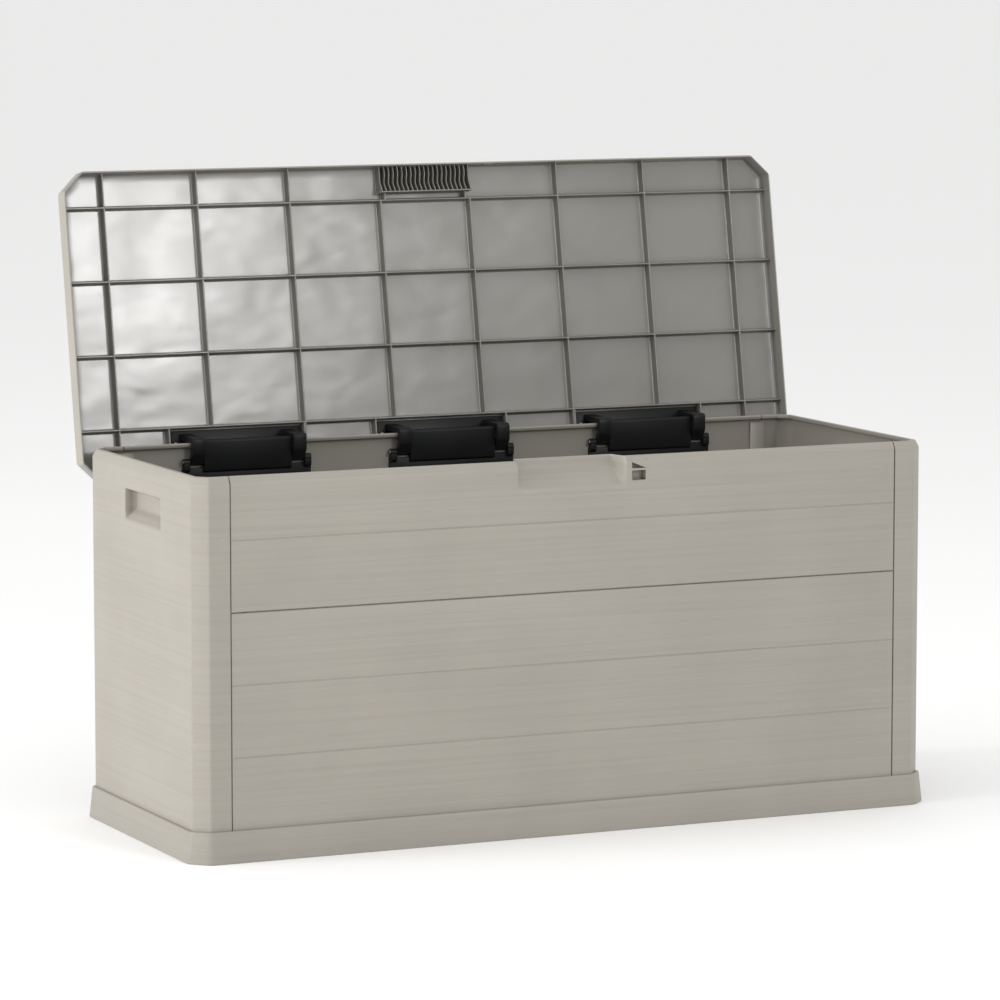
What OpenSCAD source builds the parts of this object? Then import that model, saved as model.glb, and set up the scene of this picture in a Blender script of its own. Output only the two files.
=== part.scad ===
// Deck storage box: a flat-packed moulded box of four long panels and two wrap-round
// side panels on a base tray, with a ribbed lid on three goose-neck hinges.
// X is the length, Y runs from front to back, Z is up. The origin is the middle of the underside.

/* [Body] */
// Outside length of the walls
wall_w = 1150; // [900:10:1500]
// Outside depth of the walls
wall_d = 430; // [360:5:600]
// Height of the rim above the ground
rim_h = 540; // [440:5:700]
// Thickness of the moulded walls
wall_t = 3; // [2.5:0.1:3.6]
// Size of the cut corners of the walls
corner = 20; // [12:1:30]
// Width of the flange round the rim
flange_w = 12; // [9:0.5:12]
// Height of the bevel on the outside of the rim
bevel_h = 8; // [5:0.5:10]
// How far the bevel leans in
bevel_in = 6; // [3:0.5:7]

/* [Panels] */
// Distance from each end of the box to the upright seam
seam_inset = 51; // [40:1:70]
// Height of the joint between the lower and upper panels
split_z = 350; // [200:5:400]
// Width of the gap shown at every joint
joint_gap = 1.5; // [1:0.1:2.5]
// Width of the tongue behind every joint
tongue_w = 18; // [12:1:24]
// Clearance round a tongue, tab or tray edge
slip = 0.4; // [0.2:0.05:0.8]
// Height of one moulded plank
plank_h = 101.5; // [80:0.5:130]
// Width and depth of the moulded line between planks
plank_line = 1.4; // [0.8:0.1:1.8]

/* [Base tray] */
// Height of the skirt round the base
skirt_h = 45; // [36:1:70]
// How far the top of the skirt stands out from the walls
skirt_proud = 5; // [4:0.5:8]
// How much further the bottom of the skirt stands out
skirt_draft = 5; // [2:0.5:10]
// Height of the inside floor above the ground
floor_z = 18; // [15:1:25]
// Thickness of the floor
floor_t = 3; // [2:0.5:4]
// Thickness of the ribs under the floor
foot_rib_t = 4; // [3:0.5:6]
// Spacing of the ribs under the floor
foot_rib_pitch = 110; // [90:5:180]
// Height of the locating rib inside the walls
locate_h = 12; // [8:1:20]
// Width of a locking tab under a panel
tab_w = 30; // [20:1:40]

/* [Handles and latch] */
// Width of a side handle pocket
pocket_w = 136; // [100:2:160]
// Depth of a side handle pocket
pocket_depth = 17; // [14:1:25]
// Height of a side handle pocket
pocket_h = 44; // [36:1:60]
// Height of the slope at the bottom of the pocket
pocket_slope = 16; // [10:1:20]
// Distance from the rim down to the top of the pocket
pocket_drop = 43; // [30:1:80]
// How far the pocket sits in front of the middle of the side
pocket_shift = 10; // [0:1:20]
// Half the width of the finger scoop in the front panel
scoop_half = 77; // [77:1:95]
// Depth of the finger scoop at the rim
scoop_depth = 34; // [34:1:44]
// Distance from the rim down to the bottom of the scoop
scoop_drop = 41; // [36:1:60]
// Distance from the middle of the box to the padlock eye
eye_x = 105; // [100:1:300]
// Width of the padlock eye
eye_w = 22; // [16:1:24]
// Height of the padlock eye
eye_h = 14; // [10:1:16]
// Distance from the rim down to the top of the padlock eye
eye_drop = 21; // [19:1:30]
// Depth of the pocket behind the padlock eye
eye_depth = 16; // [12:1:20]

/* [Lid] */
// How far the lid stands out past the walls at each end
lid_over_x = 5; // [4.5:0.5:12]
// How far the lid stands out past the walls at front and back
lid_over_y = 13; // [12:0.5:20]
// Thickness of the lid's skin and skirt
lid_t = 3; // [2.5:0.1:3.5]
// Inside depth of the lid's skirt
lid_skirt = 27; // [26:0.5:32]
// How far the closed skirt reaches below the rim
lid_lap = 12; // [10:0.5:14]
// Cut corners of the lid
lid_corner = 30; // [22:1:40]
// Thickness of the ribs under the lid
rib_t = 2.2; // [1.6:0.1:3]
// Spacing of the ribs that run from front to back
rib_pitch_x = 147; // [120:1:180]
// Distance from the lid's front edge to the first long rib
rib_first = 53; // [50:1:60]
// Spacing of the long ribs
rib_pitch_y = 109; // [90:1:109]
// Gap between the rim and the ribs that rest on it
seat_gap = 0.6; // [0.5:0.1:1]
// Number of slots in the comb grip
comb_slots = 20; // [10:1:22]
// Half the length of the comb grip
comb_half = 73; // [60:1:73]
// Depth of the comb grip from the lid's front edge
comb_depth = 41; // [36:1:41]
// Thickness of a fin in the comb grip
fin_t = 1.8; // [1.4:0.1:2.4]
// How far the lid is leaning open
open_angle = 100; // [95:0.5:102]

/* [Hinges] */
// Distance between the middles of neighbouring hinges
hinge_pitch = 330; // [260:5:360]
// Length of a hinge
hinge_w = 208; // [200:1:220]
// Distance from the hinge axis to the outside of the rear wall
axis_in = 10; // [10:0.2:11]
// Distance from the rim down to the hinge axis
axis_drop = 28; // [27:0.5:28]
// Outside radius of the hinge knuckles
knuckle_r = 5; // [4.5:0.1:5]
// Radius of the hinge pins
pin_r = 2.5; // [2:0.1:3]
// Radial clearance between a pin and its bore
pin_play = 0.05; // [0.02:0.01:0.1]
// Side gap between neighbouring knuckles
side_play = 0.5; // [0.3:0.1:0.8]
// Width of a goose-neck arm
arm_w = 20; // [14:1:22]
// Distance from the middle of a hinge to the middle of an arm
arm_x = 80; // [78:1:82]
// Thickness of the hinge plates
leaf_t = 4; // [3:0.5:4]
// Height of the plate on the rear wall
wall_leaf_h = 42; // [36:1:60]
// Thickness of the pads that the hinge plates are screwed to
pad_t = 3; // [2.5:0.5:3.5]
// Shank radius of the hinge screws
screw_r = 2; // [1.5:0.1:2.5]
// Head radius of the hinge screws
screw_head_r = 4; // [3:0.1:4.5]

/* [Hidden] */
$fn = 48;

GREIGE = "#b3afa7";
BLACK = "#1a1c1d";
STEEL = "#9a9c9e";

past = 1; // how far a cutting shape runs past the face it cuts
front = -1;
rear = 1;

half_w = wall_w / 2;
half_d = wall_d / 2;
seam_x = half_w - seam_inset;
tongue_y = half_d - wall_t - slip;
base_out = skirt_proud + skirt_draft;
tab_drop = floor_z * 0.6;
locate_in = wall_t * 2 + slip * 2;
plank_lines = floor((rim_h - bevel_h - skirt_h) / plank_h);
flange_drop = bevel_h - wall_t;

pocket_top = rim_h - pocket_drop;
pocket_floor = pocket_top - pocket_h;
scoop_z = rim_h - scoop_drop;
scoop_back = 15;
eye_z = rim_h - eye_drop - eye_h;
bar_h = 3;

lid_half_w = half_w + lid_over_x;
lid_half_d = half_d + lid_over_y;
skirt_z = rim_h - lid_lap;
skin_z = skirt_z + lid_skirt;
lid_top = skin_z + lid_t;
rib_z = rim_h + seat_gap;
lid_bevel = 5;
rib_count_x = floor((lid_half_w - rib_pitch_x / 2 - rib_t) / rib_pitch_x);
last_rib_y = -lid_half_d + rib_first + 3 * rib_pitch_y;

axis_y = half_d - axis_in;
axis_z = rim_h - axis_drop;
hinge_pad_z = skin_z - pad_t;
lid_leaf_z = hinge_pad_z - leaf_t;
wall_pad_y = half_d - wall_t - pad_t;
wall_leaf_y = wall_pad_y - leaf_t;
leaf_drop = 4; // from the bottom of the knuckles to the top of the wall plate
wall_leaf_top = axis_z - knuckle_r - leaf_drop;
lug_w = hinge_w / 2 - 2 - arm_x - arm_w / 2 - side_play;
saddle_half = arm_x - arm_w / 2 - side_play - lug_w - 1;
saddle_t = 3;
saddle_lip = saddle_t * 0.7;
screw_x = [-hinge_w / 2 + 8, -hinge_w / 4, hinge_w / 4, hinge_w / 2 - 8];
head_h = 2.2;
hole_cover = 1; // plastic left over the end of a blind screw hole
tip_cover = 1.2; // plastic left over the end of a screw
wall_screw_share = 0.7; // how far down the wall plate its screws sit
lid_screw_in = 28; // from the hinge axis forward to the lid screws
driver_w = 1;
driver_deep = 1.2;

// ---- shared shapes ----

// Outline of the walls, moved in by the same amount all round
module outline(inset, hw = half_w, hd = half_d, cut = corner) {
    w = hw - inset;
    d = hd - inset;
    c = cut - inset * (2 - sqrt(2));
    polygon([[-w + c, -d], [w - c, -d], [w, -d + c], [w, d - c],
             [w - c, d], [-w + c, d], [-w, d - c], [-w, -d + c]]);
}

// One pair of leaning faces: half size low at the bottom and high at the top
module wedge(low, high, h, run) {
    rotate([90, 0, 0])
        linear_extrude(run, center = true)
            polygon([[-low, 0], [low, 0], [high, h], [-high, h]]);
}

// A block with the walls' outline whose eight sides lean in from inset_low to inset_high
module leaning_block(h, inset_low, inset_high, hw = half_w, hd = half_d, cut = corner) {
    diag = (hw + hd - cut) / sqrt(2);
    run = 3 * hw;
    intersection() {
        wedge(hw - inset_low, hw - inset_high, h, run);
        rotate([0, 0, 90]) wedge(hd - inset_low, hd - inset_high, h, run);
        rotate([0, 0, 45]) wedge(diag - inset_low, diag - inset_high, h, run);
        rotate([0, 0, -45]) wedge(diag - inset_low, diag - inset_high, h, run);
    }
}

// A box given by its lowest and highest corners
module span(low, high) {
    translate(low) cube(high - low);
}

// A profile of [y, z] points carried along X from x0 to x1
module along_x(x0, x1) {
    translate([x0, 0, 0])
        rotate([90, 0, 90])
            linear_extrude(x1 - x0)
                children();
}

// A cylinder along X from x0 to x1 at [y, z]
module rod_x(x0, x1, y, z, r) {
    translate([x0, y, z]) rotate([0, 90, 0]) cylinder(h = x1 - x0, r = r);
}

// The whole ring of walls, from the floor to the flange, before it is cut into panels
module wall_ring() {
    difference() {
        union() {
            translate([0, 0, floor_z])
                linear_extrude(rim_h - bevel_h - floor_z) outline(0);
            translate([0, 0, rim_h - bevel_h])
                leaning_block(bevel_h, 0, bevel_in);
        }
        translate([0, 0, floor_z - past])
            linear_extrude(rim_h - bevel_h - floor_z + past) outline(wall_t);
        translate([0, 0, rim_h - bevel_h])
            leaning_block(flange_drop, wall_t, wall_t + bevel_in * flange_drop / bevel_h);
        linear_extrude(rim_h + past) outline(flange_w);
        for (i = [1 : plank_lines])
            if (abs(plank_z(i) - split_z) > 2 * plank_line) plank_groove(plank_z(i));
    }
}

// Height of the top of one plank
function plank_z(i) = skirt_h + i * plank_h;

// The moulded line between two planks, all round the walls
module plank_groove(z) {
    difference() {
        translate([0, 0, z - plank_line / 2]) linear_extrude(plank_line) outline(-past);
        translate([0, 0, z - plank_line]) linear_extrude(2 * plank_line) outline(plank_line / 2);
    }
}

// ---- base ----

module base_tray() color(GREIGE) {
    tray_hw = half_w + base_out;
    tray_hd = half_d + base_out;
    tray_cut = corner + base_out * (2 - sqrt(2));
    difference() {
        union() {
            difference() {
                leaning_block(skirt_h, 0, skirt_draft, tray_hw, tray_hd, tray_cut);
                translate([0, 0, floor_z]) linear_extrude(skirt_h) outline(-slip);
                translate([0, 0, -past]) linear_extrude(floor_z - floor_t + past) outline(wall_t);
            }
            underside_ribs();
            locating_rib();
        }
        for (side = [front, rear]) long_tabs(side, slip);
        for (side = [-1, 1]) short_tabs(side, slip);
    }
}

// Ribs and foot pads under the floor; their lowest faces stand on the ground
module underside_ribs() {
    top = floor_z - floor_t / 2;
    reach = floor(half_w / foot_rib_pitch);
    pad = [60, 40, top];
    intersection() {
        linear_extrude(top) outline(wall_t / 2);
        union() {
            for (i = [-reach : reach])
                translate([i * foot_rib_pitch - foot_rib_t / 2, -half_d, 0])
                    cube([foot_rib_t, wall_d, top]);
            for (j = [-1 : 1])
                translate([-half_w, j * half_d / 2 - foot_rib_t / 2, 0])
                    cube([wall_w, foot_rib_t, top]);
        }
    }
    translate([-pad[0], -pad[1], 0]) cube([2 * pad[0], 2 * pad[1], top]);
    for (x = [-1, 1]) for (y = [-1, 1])
        translate([x * (half_w - pad[0]) - pad[0] / 2, y * (half_d - pad[1]) - pad[1] / 2, 0])
            cube(pad);
}

// The upright rib that the walls stand round
module locating_rib() {
    translate([0, 0, floor_z - floor_t / 2])
        linear_extrude(locate_h)
            difference() {
                outline(locate_in);
                outline(locate_in + wall_t);
            }
}

// Locking tabs under a long panel; grow makes the slots that they pass through
module long_tabs(side, grow) {
    for (x = [-1, -1 / 3, 1 / 3, 1])
        tab(x * (seam_x - tab_w * 2), side * (half_d - wall_t / 2), [tab_w, wall_t], grow);
}

// Locking tabs under a side panel
module short_tabs(side, grow) {
    for (y = [-1, 1])
        tab(side * (half_w - wall_t / 2), y * half_d / 2, [wall_t, tab_w], grow);
}

module tab(x, y, size, grow) {
    full = [size[0] + 2 * grow, size[1] + 2 * grow, tab_drop + (grow > 0 ? past : 0)];
    translate([x - full[0] / 2, y - full[1] / 2, floor_z - tab_drop]) cube(full);
}

// ---- walls ----

// A side panel wraps round both corners and carries a tongue behind each seam
module side_panel(side) color(GREIGE) {
    difference() {
        union() {
            intersection() {
                wall_ring();
                end_region(side, seam_x, floor_z - past);
            }
            for (face = [front, rear]) seam_tongue(side, face);
            intersection() {
                pocket_shape(side, wall_t);
                linear_extrude(rim_h) outline(0);
            }
            short_tabs(side, 0);
        }
        pocket_shape(side, 0);
    }
}

// Everything further out than x on one end of the box
module end_region(side, x, z) {
    scale_x = side > 0 ? x : -x - wall_w;
    translate([scale_x, -wall_d, z]) cube([wall_w, 2 * wall_d, rim_h]);
}

// A tongue that slides behind the long panels
module seam_tongue(side, face) {
    z0 = floor_z;
    z1 = rim_h - bevel_h - wall_t;
    root = wall_t * 2;
    y_low = face > 0 ? tongue_y - wall_t : -tongue_y;
    y_root = face > 0 ? tongue_y - wall_t : -half_d + wall_t / 2;
    x_root = side > 0 ? seam_x : -seam_x - root;
    x_tongue = side > 0 ? seam_x - tongue_w : -seam_x - root;
    translate([x_tongue, y_low, z0]) cube([tongue_w + root, wall_t, z1 - z0]);
    translate([x_root, y_root, z0]) cube([root, wall_t * 1.5 + slip, z1 - z0]);
}

// The handle pocket: flat roof, upright back and a floor that slopes out to the face
module pocket_shape(side, skin) {
    depth = pocket_depth + skin;
    slope = pocket_slope;
    top = pocket_top + skin;
    low = pocket_floor - skin;
    face = skin > 0 ? 0 : past;
    w = pocket_w / 2 + skin;
    translate([0, -pocket_shift + w, 0])
        rotate([90, 0, 0])
            linear_extrude(2 * w)
                polygon([[side * (half_w + face), low], [side * (half_w + face), top],
                         [side * (half_w - depth), top], [side * (half_w - depth), low + slope],
                         [side * half_w, low]]);
}

module left_side_panel() side_panel(-1);
module right_side_panel() side_panel(1);

// The part of the ring between the seams on one face and between two heights
module long_region(face, z0, z1) {
    x = seam_x - joint_gap;
    y = face > 0 ? 0 : -wall_d;
    translate([-x, y, z0]) cube([2 * x, wall_d, z1 - z0]);
}

// A lower panel: a tongue along its top edge and locking tabs under its foot
module lower_panel(face) color(GREIGE) {
    tongue_half = seam_x - tongue_w - joint_gap * 2;
    y_tongue = face > 0 ? tongue_y - wall_t : -tongue_y;
    y_root = face > 0 ? tongue_y - wall_t : -half_d + wall_t / 2;
    top = split_z - joint_gap / 2;
    intersection() {
        wall_ring();
        long_region(face, floor_z - past, top);
    }
    translate([-tongue_half, y_root, top - wall_t * 2])
        cube([2 * tongue_half, wall_t * 1.5 + slip, wall_t * 2]);
    translate([-tongue_half, y_tongue, top - wall_t * 2])
        cube([2 * tongue_half, wall_t, wall_t * 2 + tongue_w]);
    long_tabs(face, 0);
}

// An upper panel: the part of the ring above the joint
module upper_ring(face) {
    intersection() {
        wall_ring();
        long_region(face, split_z + joint_gap / 2, rim_h + past);
    }
}

module front_lower_panel() lower_panel(front);
module rear_lower_panel() lower_panel(rear);

module front_upper_panel() color(GREIGE) {
    difference() {
        union() {
            upper_ring(front);
            scoop_shape(wall_t);
            eye_pocket();
        }
        scoop_shape(0);
        eye_openings();
    }
}

// The finger scoop: a floor that slopes in from the face, an upright back, open at the top
module scoop_shape(skin) {
    y_back = -half_d + scoop_depth + skin;
    low = scoop_z - skin * 1.5;
    top = skin > 0 ? rim_h : rim_h + past;
    y_face = skin > 0 ? -half_d : -half_d - past;
    reach = scoop_half + skin;
    along_x(-reach, reach)
        polygon([[y_face, low], [-half_d, low], [y_back, rim_h - scoop_back], [y_back, top], [y_face, top]]);
}

// The closed pocket behind the padlock eye
module eye_pocket() {
    w = eye_w / 2 + wall_t;
    y0 = -half_d + wall_t / 2;
    y1 = -half_d + eye_depth;
    difference() {
        span([eye_x - w, y0, eye_z - wall_t], [eye_x + w, y1, rim_h - wall_t / 2]);
        eye_hollow();
    }
}

module eye_hollow() {
    w = eye_w / 2;
    span([eye_x - w, -half_d + wall_t, eye_z], [eye_x + w, -half_d + eye_depth - wall_t, rim_h - wall_t]);
}

// The square eye and the three-cornered slot above its bar
module eye_openings() {
    w = eye_w / 2;
    slot_z = eye_z + eye_h + bar_h;
    slot_top = rim_h - bevel_h - 1;
    eye_hollow();
    span([eye_x - w, -half_d - past, eye_z], [eye_x + w, -half_d + wall_t + past, eye_z + eye_h]);
    translate([0, -half_d + wall_t + past, 0])
        rotate([90, 0, 0])
            linear_extrude(wall_t + 2 * past)
                polygon([[eye_x - w, slot_z], [eye_x + w, slot_z], [eye_x - w, slot_top]]);
}

module rear_upper_panel() color(GREIGE) {
    difference() {
        union() {
            upper_ring(rear);
            for (i = [-1 : 1]) wall_pad(i * hinge_pitch);
        }
        for (i = [-1 : 1]) wall_screw_holes(i * hinge_pitch, screw_r, half_d - hole_cover);
    }
}

// A raised pad on the inside of the rear wall for one hinge
module wall_pad(x) {
    span([x - hinge_w / 2, wall_pad_y, wall_leaf_top - wall_leaf_h],
         [x + hinge_w / 2, half_d - wall_t / 2, wall_leaf_top]);
}

// ---- lid ----

// Carries what is modelled on the closed lid to the open lid
module on_open_lid() {
    translate([0, axis_y, axis_z])
        rotate([-open_angle, 0, 0])
            translate([0, -axis_y, -axis_z])
                children();
}

module lid() color(GREIGE) on_open_lid() {
    difference() {
        union() {
            lid_shell();
            intersection() {
                lid_ribs();
                translate([0, 0, skirt_z]) linear_extrude(lid_skirt + past)
                    outline(lid_t / 2, lid_half_w, lid_half_d, lid_corner);
            }
            comb_grip();
            for (i = [-1 : 1]) lid_pad(i * hinge_pitch);
        }
        for (i = [-1 : 1]) lid_screw_holes(i * hinge_pitch, screw_r, lid_top - hole_cover);
        padlock_slot();
    }
}

// Skin and skirt
module lid_shell() {
    difference() {
        union() {
            translate([0, 0, skirt_z]) linear_extrude(lid_top - lid_bevel - skirt_z)
                outline(0, lid_half_w, lid_half_d, lid_corner);
            translate([0, 0, lid_top - lid_bevel])
                leaning_block(lid_bevel, 0, lid_bevel / 2, lid_half_w, lid_half_d, lid_corner);
        }
        translate([0, 0, skirt_z - past]) linear_extrude(lid_skirt + past)
            outline(lid_t, lid_half_w, lid_half_d, lid_corner);
    }
}

// The grid of ribs, left out where a hinge is screwed on
module lid_ribs() {
    difference() {
        union() {
            for (i = [0 : rib_count_x]) for (side = [-1, 1])
                cross_rib(side * (i + 0.5) * rib_pitch_x, -lid_half_d, lid_half_d);
            for (j = [0 : 3]) {
                y = -lid_half_d + rib_first + j * rib_pitch_y;
                span([-lid_half_w, y - rib_t / 2, rib_z], [lid_half_w, y + rib_t / 2, skin_z + past]);
            }
        }
        for (i = [-1 : 1]) hinge_pocket(i * hinge_pitch);
    }
    for (i = [-1 : 1]) for (side = [-1, 1])
        cross_rib(i * hinge_pitch + side * (hinge_w / 2 + rib_t * 1.5), last_rib_y, lid_half_d);
}

module cross_rib(x, y0, y1) {
    span([x - rib_t / 2, y0, rib_z], [x + rib_t / 2, y1, skin_z + past]);
}

module hinge_pocket(x) {
    span([x - hinge_w / 2 - rib_t, last_rib_y + rib_t, rib_z - past],
         [x + hinge_w / 2 + rib_t, lid_half_d, skin_z + 2 * past]);
}

// The pad on the underside of the lid that one hinge is screwed to
module lid_pad(x) {
    span([x - hinge_w / 2, last_rib_y + rib_t, hinge_pad_z],
         [x + hinge_w / 2, lid_half_d - lid_t / 2, skin_z + lid_t / 2]);
}

// Fins behind the front skirt that the fingers take hold of, and the cross rib that ends them
module comb_grip() {
    y_front = -lid_half_d + lid_t / 2;
    y_back = -lid_half_d + comb_depth;
    back_z = skirt_z + 5; // how far down a fin hangs at its back, where it is deepest
    ramp = 18; // length of the slope at the back of a fin
    pitch = 2 * comb_half / comb_slots;
    for (i = [0 : comb_slots])
        along_x(-comb_half + i * pitch - fin_t / 2, -comb_half + i * pitch + fin_t / 2)
            polygon([[y_front, rib_z], [y_back - ramp, rib_z], [y_back, back_z],
                     [y_back, skin_z + past], [y_front, skin_z + past]]);
    span([-comb_half - fin_t / 2, y_back - rib_t / 2, back_z],
         [comb_half + fin_t / 2, y_back + rib_t / 2, skin_z + past]);
}

// The slot in the lid's skirt for a padlock's shackle
module padlock_slot() {
    w = eye_w / 3;
    z0 = skirt_z + lid_t;
    span([eye_x - w, -lid_half_d - past, z0], [eye_x + w, -lid_half_d + lid_t + past, z0 + eye_h / 2]);
}

// ---- hinges ----

// The plate on the rear wall, its lugs, and the saddle that clips over the rim
module hinge_wall_leaf(x) color(BLACK) {
    low = wall_leaf_top - wall_leaf_h;
    difference() {
        union() {
            span([x - hinge_w / 2 + 2, wall_leaf_y, low], [x + hinge_w / 2 - 2, wall_pad_y, wall_leaf_top]);
            for (side = [-1, 1]) {
                lug(x + side * (arm_x - arm_w / 2 - side_play - lug_w / 2));
                lug(x + side * (arm_x + arm_w / 2 + side_play + lug_w / 2));
            }
            along_x(x - saddle_half, x + saddle_half) saddle_profile();
        }
        rod_x(x - hinge_w, x + hinge_w, axis_y, axis_z, pin_r + pin_play);
        wall_screw_holes(x, screw_r + slip, half_d);
    }
}

module lug(x) {
    span([x - lug_w / 2, axis_y - knuckle_r, wall_leaf_top - knuckle_r],
         [x + lug_w / 2, wall_pad_y, axis_z]);
    rod_x(x - lug_w / 2, x + lug_w / 2, axis_y, axis_z, knuckle_r);
}

// The saddle: up in front of the flange, over the rim and a short way down behind the wall
module saddle_profile() {
    y_in = half_d - flange_w - saddle_t - slip;
    y_out = half_d + slip / 2;
    top = rim_h + slip / 2;
    low = wall_leaf_top - knuckle_r * 1.5;
    polygon([[wall_leaf_y, low], [wall_leaf_y, wall_leaf_top], [y_in + saddle_t, wall_leaf_top],
             [y_in + saddle_t, top], [y_out, top], [y_out, rim_h - bevel_h * 2],
             [y_out + saddle_lip, rim_h - bevel_h * 2], [y_out + saddle_lip, top + saddle_t],
             [y_in, top + saddle_t], [y_in, low + saddle_t]]);
}

// The plate under the lid and its two goose-neck arms
module hinge_lid_leaf(x) color(BLACK) {
    y0 = last_rib_y + rib_t * 2;
    y1 = lid_half_d - lid_t - 4;
    difference() {
        union() {
            on_open_lid() span([x - hinge_w / 2 + 1, y0, lid_leaf_z], [x + hinge_w / 2 - 1, y1, hinge_pad_z]);
            for (side = [-1, 1]) {
                x_mid = x + side * arm_x;
                along_x(x_mid - arm_w / 2, x_mid + arm_w / 2) arm_profile();
                rod_x(x_mid - arm_w / 2, x_mid + arm_w / 2, axis_y, axis_z, knuckle_r);
            }
        }
        rod_x(x - hinge_w, x + hinge_w, axis_y, axis_z, pin_r + pin_play);
        on_open_lid() lid_screw_holes(x, screw_r + slip, skin_z);
    }
}

// Where a point of the closed lid, given from the hinge axis, lies when the lid is open
function opened(a, b) = [a * cos(open_angle) + b * sin(open_angle),
                         b * cos(open_angle) - a * sin(open_angle)];

// How far along the closed lid, from the axis, the plate's face meets the open height v
function plate_a(v, b) = (b * cos(open_angle) - v) / sin(open_angle);

// The arm of the open lid: up inside the rim, over it and across to the plate under the lid
module arm_profile() {
    reach = flange_w - axis_in + 2; // from the axis in to the side of the arm that faces the flange
    thick = 9;
    rest_gap = 0.3; // between the rim and the arm that leans over it
    stop = axis_drop + rest_gap;
    over = stop + thick - 1;
    b = lid_leaf_z - axis_z + leaf_t / 2;
    low_end = opened(plate_a(stop, b), b);
    high_end = opened(plate_a(over, b), b);
    translate([axis_y, axis_z])
        polygon([[-knuckle_r, 0], [-reach - thick, axis_drop * 0.45], [-reach - thick, over - 3],
                 [-reach - thick + 3, over], [high_end[0], over], [low_end[0], stop],
                 [-reach, stop], [-reach, axis_drop * 0.55], [knuckle_r * 0.6, knuckle_r * 0.8], [0, -1]]);
}

// One pin through each arm and the lugs on both sides of it
module hinge_pins(x) color(STEEL) {
    inner = arm_x - arm_w / 2 - side_play - lug_w + 1;
    outer = arm_x + arm_w / 2 + side_play + lug_w;
    rod_x(x + inner, x + outer, axis_y, axis_z, pin_r);
    rod_x(x - outer, x - inner, axis_y, axis_z, pin_r);
}

// ---- screws ----

// Height of the wall screws, and how far back the lid screws sit
function wall_screw_z() = wall_leaf_top - wall_leaf_h * wall_screw_share;
function lid_screw_y() = axis_y - lid_screw_in;

module wall_screw_holes(x, r, end) {
    for (dx = screw_x)
        translate([x + dx, wall_leaf_y - past, wall_screw_z()])
            rotate([-90, 0, 0]) cylinder(h = end - wall_leaf_y + past, r = r);
}

module hinge_wall_screws(x) color(STEEL)
    for (dx = screw_x)
        translate([x + dx, wall_leaf_y, wall_screw_z()])
            rotate([-90, 0, 0]) screw(half_d - tip_cover - wall_leaf_y);

module lid_screw_holes(x, r, end) {
    for (dx = screw_x)
        translate([x + dx, lid_screw_y(), lid_leaf_z - past])
            cylinder(h = end - lid_leaf_z + past, r = r);
}

module hinge_lid_screws(x) color(STEEL) on_open_lid()
    for (dx = screw_x)
        translate([x + dx, lid_screw_y(), lid_leaf_z]) screw(lid_top - tip_cover - lid_leaf_z);

// A pan-head screw whose head sits below z = 0 and whose shank runs up to length
module screw(length) {
    translate([0, 0, -head_h])
        difference() {
            cylinder(h = head_h, r = screw_head_r);
            for (a = [0, 90])
                rotate([0, 0, a])
                    translate([-screw_head_r / 2, -driver_w / 2, -past])
                        cube([screw_head_r, driver_w, past + driver_deep]);
        }
    cylinder(h = length, r = screw_r);
}

module left_hinge_wall_leaf() hinge_wall_leaf(-hinge_pitch);
module centre_hinge_wall_leaf() hinge_wall_leaf(0);
module right_hinge_wall_leaf() hinge_wall_leaf(hinge_pitch);
module left_hinge_lid_leaf() hinge_lid_leaf(-hinge_pitch);
module centre_hinge_lid_leaf() hinge_lid_leaf(0);
module right_hinge_lid_leaf() hinge_lid_leaf(hinge_pitch);

base_tray();
left_side_panel();
right_side_panel();
front_lower_panel();
front_upper_panel();
rear_lower_panel();
rear_upper_panel();
lid();
left_hinge_wall_leaf();
left_hinge_lid_leaf();
hinge_pins(-hinge_pitch);  // left_hinge_pins
hinge_wall_screws(-hinge_pitch);  // left_hinge_wall_screws
hinge_lid_screws(-hinge_pitch);  // left_hinge_lid_screws
centre_hinge_wall_leaf();
centre_hinge_lid_leaf();
hinge_pins(0);  // centre_hinge_pins
hinge_wall_screws(0);  // centre_hinge_wall_screws
hinge_lid_screws(0);  // centre_hinge_lid_screws
right_hinge_wall_leaf();
right_hinge_lid_leaf();
hinge_pins(hinge_pitch);  // right_hinge_pins
hinge_wall_screws(hinge_pitch);  // right_hinge_wall_screws
hinge_lid_screws(hinge_pitch);  // right_hinge_lid_screws
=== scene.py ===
import math

import bmesh
import bpy
from mathutils import Matrix, Vector


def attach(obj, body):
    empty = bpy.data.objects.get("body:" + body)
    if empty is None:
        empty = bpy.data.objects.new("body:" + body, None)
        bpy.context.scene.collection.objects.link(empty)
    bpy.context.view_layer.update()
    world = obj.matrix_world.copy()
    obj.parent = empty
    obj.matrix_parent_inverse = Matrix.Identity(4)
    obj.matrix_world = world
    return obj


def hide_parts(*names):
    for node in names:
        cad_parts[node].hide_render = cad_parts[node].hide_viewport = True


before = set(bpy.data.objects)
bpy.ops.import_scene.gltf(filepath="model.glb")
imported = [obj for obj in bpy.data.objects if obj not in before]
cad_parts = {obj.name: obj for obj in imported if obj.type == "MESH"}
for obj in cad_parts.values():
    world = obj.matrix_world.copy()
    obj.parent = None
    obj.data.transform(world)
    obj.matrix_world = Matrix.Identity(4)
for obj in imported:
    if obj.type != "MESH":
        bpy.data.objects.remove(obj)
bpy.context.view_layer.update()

# Lengths are in millimetres in the row frame until make() turns them into metres.
MM = 0.001
HALF_W, HALF_D, CORNER = 575.0, 215.0, 20.0
RIM, SPLIT, FLOOR = 540.0, 350.0, 18.0
SEAM, GAP = 524.0, 0.75
PANEL_END = SEAM - 2 * GAP
WALL = 3.0
LINES = (146.5, 248.0, 451.0)
FAINT_LINE = 491.0
SIDE_LINE = 0.3
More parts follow.
